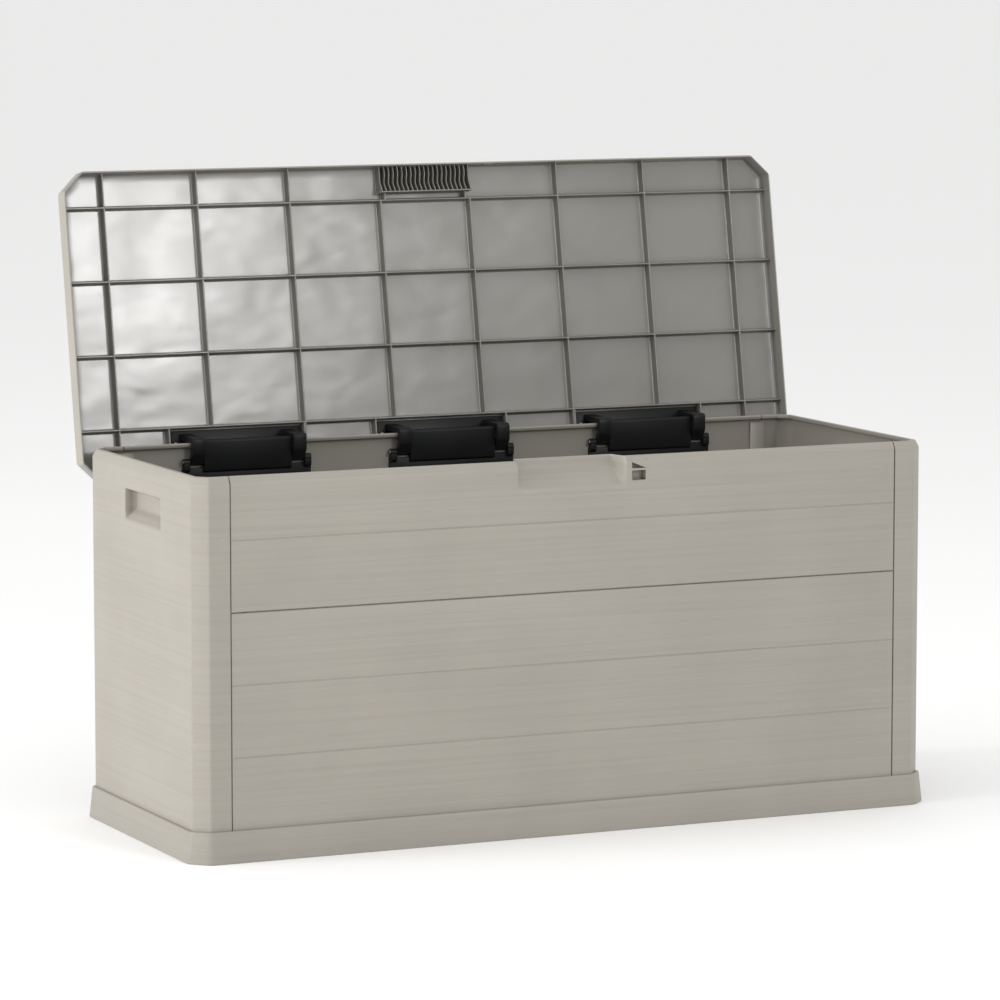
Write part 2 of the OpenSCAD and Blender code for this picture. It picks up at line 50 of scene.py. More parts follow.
AXIS_Y, AXIS_Z, OPEN = 205.0, 512.0, math.radians(100)
LID_W, LID_D, LID_CORNER = 580.0, 228.0, 30.0
SKIRT_Z, SKIN_Z, LID_TOP = 528.0, 555.0, 558.0
RIB_TIP, RIB_PITCH, RIB_FILLET = 540.7, 147.0, 3.4
LONG_RIBS = (-175.0, -66.0, 43.0, 152.0)
HINGE_X = {"left": -330.0, "centre": 0.0, "right": 330.0}
HINGE_HALF = 104.0
PAD_Z, PLATE_Z = 552.0, 548.0
PAD_LOW, PAD_HIGH = 461.0, 503.0
TONGUE_OUT, TONGUE_IN = HALF_D - 3.4, HALF_D - 6.4
TAB_LOW, TAB_HALF = 7.4, 15.0
SCOOP_IN, SCOOP_OUT, SCOOP_LOW = 75.6, 86.0, 494.5
EYE_X, EYE_HALF, EYE_LOW, EYE_TOP = 105.0, 11.0, 505.0, 519.0
POCKET_Y, POCKET_HALF = -10.0, 68.0
POCKET_LOW, POCKET_TOP = 444.0, 504.0

WELD = 1e-3  # points nearer than this are one
REAL_EDGE = 0.35  # radians; a flatter edge is not rounded
SMOOTH_ANGLE = 32  # degrees; a sharper edge stays sharp in shading


# ---- mesh helpers ----

def loft(bm, rings, closed=False, material=0):
    """Joins rings of as many points each into a skin, capped at both ends or closed on itself."""
    rows = [[bm.verts.new(p) for p in ring] for ring in rings]
    n = len(rows[0])
    spans = list(zip(rows, rows[1:]))
    if closed:
        spans.append((rows[-1], rows[0]))
    made = []
    for a, b in spans:
        for i in range(n):
            j = (i + 1) % n
            made.append(bm.faces.new((a[i], a[j], b[j], b[i])))
    if not closed:
        made.append(bm.faces.new(rows[0][::-1]))
        made.append(bm.faces.new(rows[-1]))
    for f in made:
        f.material_index = material
    return made


def merge(bm, other):
    """Moves the other mesh into bm and frees it."""
    mesh = bpy.data.meshes.new("scratch")
    other.to_mesh(mesh)
    other.free()
    bm.from_mesh(mesh)
    bpy.data.meshes.remove(mesh)


def rounded(bm, part, radius):
    """Rounds every real edge of a small closed mesh and moves it into bm."""
    bmesh.ops.remove_doubles(part, verts=part.verts, dist=1e-4)
    bmesh.ops.recalc_face_normals(part, faces=part.faces)
    edges = [e for e in part.edges if len(e.link_faces) == 2 and e.calc_face_angle(0) > REAL_EDGE]
    if radius > 0:
        bmesh.ops.bevel(part, geom=edges, offset=radius, segments=2, profile=0.5,
                        affect="EDGES", clamp_overlap=True)
    merge(bm, part)


def block(bm, low, high, radius=0.6, material=0):
    """A box between its lowest and highest corners, with its edges rounded."""
    (x0, y0, z0), (x1, y1, z1) = low, high
    part = bmesh.new()
    loft(part, [[(x0, y0, z), (x1, y0, z), (x1, y1, z), (x0, y1, z)] for z in (z0, z1)],
         material=material)
    rounded(bm, part, radius)


def prism_x(bm, profile, x0, x1, radius=0.8):
    """A [y, z] profile carried along X, with its edges rounded."""
    part = bmesh.new()
    loft(part, [[(x, y, z) for y, z in profile] for x in (x0, x1)])
    rounded(bm, part, radius)


def drum_x(bm, x0, x1, y, z, r, edge=0.6, sides=32):
    """A round bar along X with softened ends."""
    rings = []
    for x, rr in ((x0, r - edge), (x0 + edge, r), (x1 - edge, r), (x1, r - edge)):
        rings.append([(x, y + rr * math.cos(a), z + rr * math.sin(a))
                      for a in (2 * math.pi * k / sides for k in range(sides))])
    loft(bm, rings)


def resample(points, n):
    """n points at even steps along a line of points, ends kept."""
    lengths = [0.0]
    for a, b in zip(points, points[1:]):
        lengths.append(lengths[-1] + math.dist(a, b))
    out, k = [], 0
    for i in range(n):
        s = lengths[-1] * i / (n - 1)
        while k < len(points) - 2 and lengths[k + 1] < s:
            k += 1
        t = (s - lengths[k]) / max(lengths[k + 1] - lengths[k], 1e-9)
        t = min(max(t, 0.0), 1.0)
        out.append(tuple(a + (b - a) * t for a, b in zip(points[k], points[k + 1])))
    return out


def pair(side, a, b):
    """Two distances from the middle, both on one side of it, as a low and a high place."""
    return sorted((side * a, side * b))


def arc(cx, cz, r, a0, a1, n):
    """Points round a circle, from a0 to a1 degrees in n steps."""
    return [(cx + r * math.cos(math.radians(a0 + (a1 - a0) * k / n)),
             cz + r * math.sin(math.radians(a0 + (a1 - a0) * k / n))) for k in range(n + 1)]


def outline(hw, hd, cut, out, radius=5.0, steps=3):
    """The box's eight-sided outline moved outwards by out, with its corners softened."""
    corners = [(-hw + cut, -hd), (hw - cut, -hd), (hw, -hd + cut), (hw, hd - cut),
               (hw - cut, hd), (-hw + cut, hd), (-hw, hd - cut), (-hw, -hd + cut)]
    points = []
    for k, c in enumerate(corners):
        points += corner_points(corners[k - 1], c, corners[(k + 1) % 8], out, radius, steps)
    return points


def corner_points(before, c, after, out, radius, steps):
    """Points round one corner of a path that runs anticlockwise, out of it to the right."""
    u = Vector((c[0] - before[0], c[1] - before[1])).normalized()
    v = Vector((after[0] - c[0], after[1] - c[1])).normalized()
    n0, n1 = Vector((u.y, -u.x)), Vector((v.y, -v.x))
    half = math.acos(max(-1.0, min(1.0, n0.dot(n1)))) / 2
    bisector = (n0 + n1).normalized()
    centre = Vector(c) - bisector * radius / math.cos(half)
    if radius + out < 0:
        p = Vector(c) + bisector * out / math.cos(half)
        return [(p.x, p.y)] * (steps + 1)
    a0, a1 = math.atan2(n0.y, n0.x), math.atan2(n1.y, n1.x)
    if a1 < a0:
        a1 += 2 * math.pi
    return [(centre.x + (radius + out) * math.cos(a0 + (a1 - a0) * k / steps),
             centre.y + (radius + out) * math.sin(a0 + (a1 - a0) * k / steps))
            for k in range(steps + 1)]


def grain_map(bm):
    """A map in millimetres, along the planks and across them; ends and tops take other grain."""
    end_shift, top_shift = 900, 700
    layer = bm.loops.layers.uv.verify()
    for f in bm.faces:
        n = f.normal
        for loop in f.loops:
            x, y, z = loop.vert.co
            if abs(n.x) > 0.72 and abs(n.x) >= abs(n.z):
                loop[layer].uv = (y + end_shift, z)
            elif abs(n.z) > 0.8:
                loop[layer].uv = (x, y + top_shift)
            else:
                loop[layer].uv = (x, z)


def open_turn():
    """The turn about the hinge axis that opens what is built closed."""
    return (Matrix.Translation((0, AXIS_Y, AXIS_Z)) @ Matrix.Rotation(-OPEN, 4, "X")
            @ Matrix.Translation((0, -AXIS_Y, -AXIS_Z)))


def make(name, bm, body, slot, materials, *replaced, opened=False):
    """Turns a mesh in millimetres into a piece that rides on a body."""
    bmesh.ops.remove_doubles(bm, verts=bm.verts, dist=WELD)
    bmesh.ops.dissolve_degenerate(bm, edges=bm.edges, dist=WELD)
    bmesh.ops.recalc_face_normals(bm, faces=bm.faces)
    bm.normal_update()
    mesh = bpy.data.meshes.new(name)
    grain_map(bm)
    if opened:
        bm.transform(open_turn())
    bm.transform(Matrix.Scale(MM, 4))
    bm.to_mesh(mesh)
    bm.free()
    mesh.shade_smooth()
    mesh.set_sharp_from_angle(angle=math.radians(SMOOTH_ANGLE))
    obj = bpy.data.objects.new(name, mesh)
    bpy.context.scene.collection.objects.link(obj)
    for m in materials:
        mesh.materials.append(m)
    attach(obj, body)
    if replaced:
        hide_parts(*replaced)
    return obj


def less(bm, cut):
    """A mesh less a cutting shape that doesn't cross itself; both are freed."""
    parts = []
    for part in (bm, cut):
        bmesh.ops.remove_doubles(part, verts=part.verts, dist=WELD)
        bmesh.ops.dissolve_degenerate(part, edges=part.edges, dist=WELD)
        bmesh.ops.recalc_face_normals(part, faces=part.faces)
        mesh = bpy.data.meshes.new("cut_part")
        part.to_mesh(mesh)
        part.free()
        parts.append(bpy.data.objects.new("cut_part", mesh))
        bpy.context.scene.collection.objects.link(parts[-1])
    m = parts[0].modifiers.new("cut", "BOOLEAN")
    m.operation, m.solver, m.object = "DIFFERENCE", "EXACT", parts[1]
    bpy.context.view_layer.update()
    out = bmesh.new()
    out.from_mesh(bpy.data.meshes.new_from_object(
        parts[0].evaluated_get(bpy.context.evaluated_depsgraph_get())))
    for o in parts:
        bpy.data.objects.remove(o)
    out.normal_update()
    return out


# ---- materials ----

def shader(name):
    m = bpy.data.materials.new(name)
    m.use_nodes = True
    return m, m.node_tree.nodes, m.node_tree.links, m.node_tree.nodes["Principled BSDF"]


def ramp(nodes, stops):
    r = nodes.new("ShaderNodeValToRGB")
    while len(r.color_ramp.elements) < len(stops):
        r.color_ramp.elements.new(0.5)
    for e, (at, value) in zip(r.color_ramp.elements, stops):
        e.position = at
        e.color = (*value, 1) if isinstance(value, tuple) else (value, value, value, 1)
    return r


def noise(nodes, links, source, scale, detail, stretch=(1, 1, 1), distortion=0.0):
    mapping = nodes.new("ShaderNodeMapping")
    mapping.inputs["Scale"].default_value = stretch
    links.new(source, mapping.inputs["Vector"])
    tex = nodes.new("ShaderNodeTexNoise")
    tex.inputs["Scale"].default_value = scale
    tex.inputs["Detail"].default_value = detail
    tex.inputs["Distortion"].default_value = distortion
    links.new(mapping.outputs["Vector"], tex.inputs["Vector"])
    return tex.outputs["Fac"]


def bump(nodes, links, height, strength, distance, normal=None):
    b = nodes.new("ShaderNodeBump")
    b.inputs["Strength"].default_value = strength
    b.inputs["Distance"].default_value = distance
    links.new(height, b.inputs["Height"])
    if normal is not None:
        links.new(normal, b.inputs["Normal"])
    return b.outputs["Normal"]


def mix(nodes, links, kind, fac, a, b):
    n = nodes.new("ShaderNodeMix")
    n.data_type, n.blend_type = "RGBA", kind
    for socket, value in ((n.inputs["Factor"], fac), (n.inputs["A"], a), (n.inputs["B"], b)):
        if isinstance(value, (int, float, tuple)):
            socket.default_value = (*value, 1) if isinstance(value, tuple) else value
        else:
            links.new(value, socket)
    return n.outputs["Result"]


def moulded(name, base, rough, grain, gloss, mottle=0.0):
    """Moulded plastic: grain is the strength of the wood-grain relief along the planks, and
    mottle the strength of the slow waves of a glossy skin."""
    m, nodes, links, bsdf = shader(name)
    uv = nodes.new("ShaderNodeUVMap").outputs["UV"]
    obj = nodes.new("ShaderNodeTexCoord").outputs["Object"]
    cloud = noise(nodes, links, obj, 5.0, 4, distortion=0.4)
    tint = ramp(nodes, [(0.3, tuple(c * 0.955 for c in base)),
                        (0.7, tuple(c * 1.035 for c in base))])
    links.new(cloud, tint.inputs["Fac"])
    colour = tint.outputs["Color"]
    fine = noise(nodes, links, obj, 900.0, 2)
    soft_edge = nodes.new("ShaderNodeBevel")
    soft_edge.samples = 4
    soft_edge.inputs["Radius"].default_value = 0.0012
    normal = soft_edge.outputs["Normal"]
    if grain:
        long = noise(nodes, links, uv, 1.0, 6, (0.0022, 0.16, 1), 0.6)
        long_ramp = ramp(nodes, [(0.36, STREAK), (0.5, (1, 1, 1)), (0.68, (1.025, 1.022, 1.018))])
        links.new(long, long_ramp.inputs["Fac"])
        colour = mix(nodes, links, "MULTIPLY", 1.0, colour, long_ramp.outputs["Color"])
        fibre = noise(nodes, links, uv, 1.0, 5, (0.008, 0.62, 1), 0.3)
        patch = noise(nodes, links, uv, 1.0, 2, (0.003, 0.02, 1))
        patch_ramp = ramp(nodes, [(0.4, 0.15), (0.62, 1.0)])
        links.new(patch, patch_ramp.inputs["Fac"])
        height = nodes.new("ShaderNodeMath")
        height.operation = "MULTIPLY"
        links.new(fibre, height.inputs[0])
        links.new(patch_ramp.outputs["Color"], height.inputs[1])
        normal = bump(nodes, links, long, grain * 0.8, 0.0012, normal)
        normal = bump(nodes, links, height.outputs["Value"], grain, 0.0009, normal)
    if mottle:
        waves = noise(nodes, links, obj, 12.0, 1, (1, 1, 1.8), 0.2)
        normal = bump(nodes, links, waves, mottle, 0.005, normal)
    normal = bump(nodes, links, fine, 0.12, 0.0002, normal)
    links.new(normal, bsdf.inputs["Normal"])
    # Edges are lightened: partly edge wear, partly a painted highlight along rounded edges.
    wear_and_highlight = edge_mask(nodes, links, soft_edge)
    colour = mix(nodes, links, "MIX", wear_and_highlight, colour, tuple(min(1.0, c * 1.16) for c in base))
    links.new(colour, bsdf.inputs["Base Color"])
    rough_ramp = ramp(nodes, [(0.3, rough - 0.035), (0.7, rough + 0.04)])
    links.new(noise(nodes, links, obj, 9.0, 5, distortion=0.5), rough_ramp.inputs["Fac"])
    links.new(rough_ramp.outputs["Color"], bsdf.inputs["Roughness"])
    bsdf.inputs["Specular IOR Level"].default_value = gloss
    return m


def edge_mask(nodes, links, soft_edge):
    """0 on flats, up to about a half where the softened normal leaves the true one."""
    true = nodes.new("ShaderNodeNewGeometry").outputs["Normal"]
    dot = nodes.new("ShaderNodeVectorMath")
    dot.operation = "DOT_PRODUCT"
    links.new(soft_edge.outputs["Normal"], dot.inputs[0])
    links.new(true, dot.inputs[1])
    spread = nodes.new("ShaderNodeMapRange")
    spread.inputs["From Min"].default_value = 0.99
    spread.inputs["From Max"].default_value = 0.8
    spread.inputs["To Min"].default_value = 0.0
    spread.inputs["To Max"].default_value = 0.45
    links.new(dot.outputs["Value"], spread.inputs["Value"])
    return spread.outputs["Result"]


GREIGE = (0.326, 0.305, 0.266)
STREAK = (0.965, 0.962, 0.958)
outside = moulded("greige_grained", GREIGE, 0.5, 0.4, 0.42)
plain = moulded("greige_plain", tuple(c * 0.95 for c in GREIGE), 0.47, 0.12, 0.42)
# Painted shade: the inside colour is darkened to 0.8 of the outside's; its lower roughness and lack of grain
# are a smoother finish.
inside = moulded("greige_inside_smooth_with_painted_shade", tuple(c * 0.8 for c in GREIGE), 0.36, 0, 0.5)
glossy = moulded("greige_lid_inside", (0.2, 0.194, 0.173), 0.21, 0, 1.0, mottle=0.2)
# Painted shade: the tall flanks of the lid's ribs and comb fins take this darker copy of the lid's colour.
rib_flank_painted_shade = moulded("greige_rib_flank_painted_shade", (0.12, 0.117, 0.104), 0.34, 0, 0.4)
black = moulded("black_moulding", (0.006, 0.0065, 0.007), 0.38, 0, 0.22)


def zinc():
    """Zinc plate with a fine spangle and faint scratches."""
    m, nodes, links, bsdf = shader("zinc_plate")
    obj = nodes.new("ShaderNodeTexCoord").outputs["Object"]
    tint = ramp(nodes, [(0.3, (0.46, 0.46, 0.45)), (0.7, (0.62, 0.62, 0.62))])
    links.new(noise(nodes, links, obj, 300.0, 4), tint.inputs["Fac"])
    links.new(tint.outputs["Color"], bsdf.inputs["Base Color"])
    bsdf.inputs["Metallic"].default_value = 1.0
    rough_ramp = ramp(nodes, [(0.3, 0.28), (0.7, 0.45)])
    links.new(noise(nodes, links, obj, 500.0, 3), rough_ramp.inputs["Fac"])
    links.new(rough_ramp.outputs["Color"], bsdf.inputs["Roughness"])
    scratches = noise(nodes, links, obj, 1500.0, 2, (1, 6, 1))
    links.new(bump(nodes, links, scratches, 0.15, 0.0001), bsdf.inputs["Normal"])
    return m


steel = zinc()


# ---- walls ----
# A wall section is a closed ring of (out, z) points: up the outside, over the rim, down the inside.

def groove(z, depth=0.75, half=0.9):
    """The moulded line between two planks."""
    return [(0, z - half - 0.3), (-depth, z - half * 0.4),
            (-depth, z + half * 0.4), (0, z + half + 0.3)]


RIM_OUT = [(0, 528.6), (-0.2, 529.7), (-0.7, 530.8), (-4.9, 538.3), (-5.5, 539.2),
           (-6.5, 539.8), (-7.6, 540.0)]
RIM_IN = ([(-10.6, 540.0)] + arc(-10.6, 538.6, 1.4, 90, 180, 3)[1:] + [(-12.0, 535.2)]
          + arc(-10.9, 535.2, 1.1, 180, 270, 3)[1:] + [(-6.0, 534.1)]
          + arc(-6.0, 531.1, 3.0, 90, 0, 4)[1:] + [(-3.0, 520.0), (-3.0, 505.0)])
PLAIN_OUT = [(0, 440.0)] + groove(LINES[2]) + [(0, 470.0)] + groove(FAINT_LINE, 0.35, 0.7)
LOW_OUT = groove(LINES[0]) + [(0, 200.0)] + groove(LINES[1])


def upper_section(blend=0.0, z0=SPLIT + GAP):
    """Upper panel; blend 1 is the section through the finger scoop."""
    top_points, in_points = 34, 24
    plain_top = resample([(0, SCOOP_LOW)] + RIM_OUT, top_points)
    scoop_top = resample([(0, SCOOP_LOW), (-0.2, 497.5), (-1.6, 500.2), (-31.5, 522.6),
                          (-33.2, 525.2), (-34.0, 529.0), (-34.0, 538.2), (-34.6, 539.6),
                          (-35.6, 540.0)], top_points)
    plain_in = resample(RIM_IN + [(-3.0, SCOOP_LOW)], in_points)
    scoop_in = resample([(-35.9, 540.0), (-36.9, 539.2), (-37.3, 537.5), (-37.3, 527.0),
                         (-36.0, 522.3), (-4.2, 498.2), (-3.0, SCOOP_LOW)], in_points)
    out = [(-0.9, z0), (0, z0 + 0.9)] + PLAIN_OUT
    out += [lerp(a, b, blend) for a, b in zip(plain_top, scoop_top)]
    out += [lerp(a, b, blend) for a, b in zip(plain_in, scoop_in)]
    return out + [(-3.0, z0)]


def lerp(a, b, t):
    return tuple(p + (q - p) * t for p, q in zip(a, b))


def smooth(t):
    """Rises from 0 to 1 as t does, level at both ends."""
    t = min(max(t, 0.0), 1.0)
    return t * t * (3 - 2 * t)


def lower_section():
    """Lower panel, up to the gap below the upper one."""
    top = SPLIT - GAP
    return ([(0, FLOOR)] + LOW_OUT + [(0, top - 1.1), (-0.3, top - 0.4), (-1.1, top),
                                      (-3.0, top), (-3.0, FLOOR)])


def long_wall(face, sections):
    """Carries (x, section) stations along a long side; face is -1 at the front and 1 behind."""
    bm = bmesh.new()
    loft(bm, [[(x * -face, face * (HALF_D + o), z) for o, z in section] for x, section in sections])
    return bm


def end_rounded(section, by=0.9):
    """The section at a panel's very end, its outside drawn in a little."""
    return [(o - by if o > -by * 2 else o, z) for o, z in section]


def straight_stations(section, extra=()):
    """Stations from one end of a long panel to the other, with both ends rounded off."""
    half_way = [(o - 0.25 if o > -1 else o, z) for o, z in section]
    near = [(-PANEL_END, end_rounded(section)), (-PANEL_END + 0.5, half_way), (-PANEL_END + 1.1, section)]
    far = [(PANEL_END - 1.1, section), (PANEL_END - 0.5, half_way), (PANEL_END, end_rounded(section))]
    return near + list(extra) + far


def tongue(bm, face):
    """The tongue along the top of a lower panel, behind the upper one, and its small ribs."""
    inset, rib_half, rib_pitch = 24, 1.2, 112
    y0, y1 = pair(face, TONGUE_OUT, TONGUE_IN)
    block(bm, (-PANEL_END + inset, y0, 341), (PANEL_END - inset, y1, 366), 0.7)
    y0, y1 = pair(face, HALF_D - 2.5, HALF_D - 9.5)
    for k in range(-4, 5):
        x = k * rib_pitch
        block(bm, (x - rib_half, y0, 322), (x + rib_half, y1, 364), 0.4)


def tabs(bm, face):
    """The locking tabs under a lower panel."""
    y0, y1 = pair(face, HALF_D - WALL, HALF_D)
    for k in (-1, -1 / 3, 1 / 3, 1):
        x = k * (SEAM - 60)
        block(bm, (x - TAB_HALF, y0 + 0.1, TAB_LOW), (x + TAB_HALF, y1 - 0.1, FLOOR + 1), 0.5)


def mark_inside(bm):
    """Gives the faces that look into the box the smoother inside finish, whose darker colour is painted
    shade.
    """
    bm.normal_update()
    for f in bm.faces:
        c = f.calc_center_median()
        out_x = math.copysign(1, c.x) if abs(c.x) > HALF_W - 25 else 0
        out_y = math.copysign(1, c.y) if abs(c.y) > HALF_D - 50 else 0
        f.material_index = int(f.normal.x * out_x + f.normal.y * out_y < -0.2)
    return bm


for face, where in ((-1, "front"), (1, "rear")):
    lower = long_wall(face, straight_stations(lower_section()))
    tongue(lower, face)
    tabs(lower, face)
    bmesh.ops.recalc_face_normals(lower, faces=lower.faces)
    make(f"{where}_lower_panel_visual", mark_inside(lower), "box", "greige_plastic", [outside, inside],
         f"{where}_lower_panel")

scoop_stations = []
for side in (-1, 1):
    ramp_w = SCOOP_OUT - SCOOP_IN
    steps = [SCOOP_OUT + 9] + [SCOOP_OUT - ramp_w * k / 12 for k in range(13)]
    row = [(side * x, upper_section(smooth((SCOOP_OUT - x) / ramp_w))) for x in steps]
    scoop_stations += row if side < 0 else row[::-1]
front_upper = long_wall(-1, straight_stations(upper_section(), scoop_stations))


def eye_cutter():
    """The square padlock eye and the three-cornered slot above its bar."""
    bm = bmesh.new()
    y0, y1 = -HALF_D - 4, -HALF_D + WALL + 2
    block(bm, (EYE_X - EYE_HALF, y0, EYE_LOW), (EYE_X + EYE_HALF, y1, EYE_TOP), 1.2)
    prism = bmesh.new()
    slot_z = EYE_TOP + 3
    loft(prism, [[(EYE_X - EYE_HALF, y, slot_z), (EYE_X + EYE_HALF, y, slot_z),
                  (EYE_X - EYE_HALF, y, slot_z + 9)] for y in (y0, y1)])
    rounded(bm, prism, 0.7)
    return bm


def eye_pocket(bm):
    """The closed box that stands behind the padlock eye, as five thin walls."""
    x0, x1 = EYE_X - EYE_HALF - WALL, EYE_X + EYE_HALF + WALL
    y0, y1 = -HALF_D + 1.6, -HALF_D + 16
    low, high = EYE_LOW - 2, RIM - 4
    block(bm, (x0, y0, EYE_LOW - WALL), (x1, y1, EYE_LOW), 0.5)
    block(bm, (x0, y1 - WALL, low), (x1, y1, high), 0.5)
    block(bm, (x0, y0, low), (x0 + WALL, y1 - 1, high), 0.5)
    block(bm, (x1 - WALL, y0, low), (x1, y1 - 1, high), 0.5)
    block(bm, (x0, y0, EYE_TOP), (x1, y0 + 4, EYE_TOP + 3), 0.5)


front_upper = less(front_upper, eye_cutter())
make("front_upper_panel_visual", mark_inside(front_upper), "box", "greige_plastic", [outside, inside],
     "front_upper_panel")
pocket = bmesh.new()
eye_pocket(pocket)
make("padlock_eye_pocket", pocket, "box", "greige_plastic", [plain])

rear_upper = long_wall(1, straight_stations(upper_section()))
for x in HINGE_X.values():
    block(rear_upper, (x - HINGE_HALF, HALF_D - 6, PAD_LOW), (x + HINGE_HALF, HALF_D - 1.5, PAD_HIGH), 0.7)
bmesh.ops.recalc_face_normals(rear_upper, faces=rear_upper.faces)
make("rear_upper_panel_visual", mark_inside(rear_upper), "box", "greige_plastic", [outside, inside],
     "rear_upper_panel")


# ---- side panels ----

def side_section(blend=0.0, line=0.0):
    """Side panel from the floor to the rim; blend 1 is the section through the handle pocket."""
    face_points, in_points = 46, 40
    plain_face = resample([(0, POCKET_LOW), (0, POCKET_TOP)], face_points)
    pocket_face = resample([(0, POCKET_LOW), (0, 451.2), (-0.7, 453.4), (-16.2, 467.6), (-17.0, 469.6),
                            (-17.0, 496.2), (-16.4, 497.0), (-1.2, 497.0), (-0.3, 497.6), (0, 498.8),
                            (0, POCKET_TOP)], face_points)
    plain_in = resample([(-3.0, POCKET_TOP), (-3.0, POCKET_LOW)], in_points)
    pocket_in = resample([(-3.0, POCKET_TOP), (-3.2, 501.2), (-4.6, 500.0), (-19.2, 500.0),
                          (-20.0, 499.0), (-20.0, 468.4), (-19.2, 466.4), (-3.6, 451.6),
                          (-3.0, 449.0), (-3.0, POCKET_LOW)], in_points)
    out = [(0, FLOOR)] + groove(LINES[0], line) + [(0, 200.0)] + groove(LINES[1], line)
    out += groove(SPLIT - 0.5, line, 0.7)
    out += [lerp(a, b, blend) for a, b in zip(plain_face, pocket_face)]
    out += RIM_OUT + RIM_IN[:-1]
    out += [lerp(a, b, blend) for a, b in zip(plain_in, pocket_in)]
    return out + [(-3.0, FLOOR)]


def side_path(side):
    """Rings round one end of the box, from one seam to the other."""
    c = [(SEAM, -HALF_D), (HALF_W - CORNER, -HALF_D), (HALF_W, -HALF_D + CORNER),
         (HALF_W, HALF_D - CORNER), (HALF_W - CORNER, HALF_D), (SEAM, HALF_D)]
    y0, y1 = POCKET_Y - POCKET_HALF, POCKET_Y + POCKET_HALF
    into_pocket = ((-12, 0), (-2.2, 0), (-1.4, 0.12), (-0.6, 0.6), (0, 0.93), (0.7, 1))
    stations = [(-188, 0, 0), (-180, 0, SIDE_LINE)]
    stations += [(y0 + d, blend, SIDE_LINE) for d, blend in into_pocket]
    stations += [(y1 - d, blend, SIDE_LINE) for d, blend in into_pocket[::-1]]
    stations += [(180, 0, SIDE_LINE), (188, 0, 0)]
    rings = [("flat", (SEAM, -HALF_D), (0, -1), 0, 0), ("corner", 1, None, 0, 0), ("corner", 2, None, 0, 0)]
    rings += [("flat", (HALF_W, y), (1, 0), blend, line) for y, blend, line in stations]
    rings += [("corner", 3, None, 0, 0), ("corner", 4, None, 0, 0), ("flat", (SEAM, HALF_D), (0, 1), 0, 0)]
    made = []
    for kind, a, b, blend, line in rings:
        section = side_section(blend, line)
        if kind == "flat":
            made.append([(a[0] + b[0] * o, a[1] + b[1] * o, z) for o, z in section])
        else:
            columns = [corner_points(c[a - 1], c[a], c[a + 1], o, 5.0, 3) for o, z in section]
            for k in range(4):
                made.append([(*columns[i][k], section[i][1]) for i in range(len(section))])
    return [[(side * x, y, z) for x, y, z in ring] for ring in made]


for side, where in ((-1, "left"), (1, "right")):
    bm = bmesh.new()
    loft(bm, side_path(side))
    for face in (-1, 1):
        y0, y1 = pair(face, TONGUE_OUT, TONGUE_IN)
        x0, x1 = pair(side, SEAM - 18, SEAM + 6)
        block(bm, (x0, y0, FLOOR), (x1, y1, RIM - 11), 0.6)
        y0, y1 = pair(face, HALF_D - 1.5, HALF_D - 5)
        x0, x1 = pair(side, SEAM + 0.3, SEAM + 6)
        block(bm, (x0, y0, FLOOR), (x1, y1, RIM - 11), 0.4)
        x0, x1 = pair(side, HALF_W - WALL + 0.1, HALF_W - 0.1)
        y = face * HALF_D / 2
        block(bm, (x0, y - TAB_HALF, TAB_LOW), (x1, y + TAB_HALF, FLOOR + 1), 0.5)
    bmesh.ops.recalc_face_normals(bm, faces=bm.faces)
    make(f"{where}_side_panel_visual", mark_inside(bm), "box", "greige_plastic", [outside, inside],
         f"{where}_side_panel")


# ---- base tray ----

FOOT_TOP, FOOT_PITCH, FOOT_HALF = 16, 110, 2
base = bmesh.new()
stack = [(-20, 15), (-3, 15), (-3, 0.8), (-2.2, 0), (8.8, 0), (9.7, 0.6), (10 - 5 * 1.6 / 45, 1.8),
         (5.3, 42.6), (5.0, 43.8), (4.2, 44.7), (3.2, 45), (1.4, 45), (0.7, 44.7), (0.4, 44.0),
         (0.4, 18), (-20, 18)]
loft(base, [[(x, y, z) for x, y in outline(HALF_W, HALF_D, CORNER, o, 9.0, 4)] for o, z in stack])
locating_rib = [(-6.8, 17), (-6.8, 29), (-7.6, 29.8), (-9, 29.8), (-9.8, 29), (-9.8, 17)]
loft(base, [[(x, y, z) for x, y in outline(HALF_W, HALF_D, CORNER, o)] for o, z in locating_rib],
     closed=True)
for k in range(-5, 6):
    x = k * FOOT_PITCH
    block(base, (x - FOOT_HALF, -HALF_D + 2, 0), (x + FOOT_HALF, HALF_D - 2, FOOT_TOP), 0.5)
for k in (-1, 0, 1):
    y = k * HALF_D / 2
    block(base, (-HALF_W + 2, y - FOOT_HALF, 0), (HALF_W - 2, y + FOOT_HALF, FOOT_TOP), 0.5)
block(base, (-60, -40, 0), (60, 40, FOOT_TOP), 1.0)
for cx in (-515, 515):
    for cy in (-155, 155):
        block(base, (cx - 30, cy - 20, 0), (cx + 30, cy + 20, FOOT_TOP), 1.0)
make("base_tray_visual", base, "box", "greige_plastic", [plain], "base_tray")


# ---- lid, built closed and then opened ----

lid = bmesh.new()
LID_OUT = ([(-20, LID_TOP), (-9, LID_TOP), (-5, 557.8)] + arc(-5, 552.8, 5, 84, 0, 5)
           + [(0, 529.6), (-0.5, 528.4), (-1.5, SKIRT_Z)])
LID_IN = [(-2.3, 528.2), (-2.8, 529.2), (-3, 551.2), (-3.6, 553.2), (-5.0, 554.5),
          (-7.5, SKIN_Z), (-20, SKIN_Z)]


def lid_ring(o, z):
    return [(x, y, z) for x, y in outline(LID_W, LID_D, LID_CORNER, o, 8.0, 4)]


def lid_cutter():
    """The slot in the skirt for a padlock's shackle."""
    bm = bmesh.new()
    block(bm, (EYE_X - 7.3, -LID_D - 4, 531), (EYE_X + 7.3, -LID_D + 6.5, 538), 1.0)
    return bm


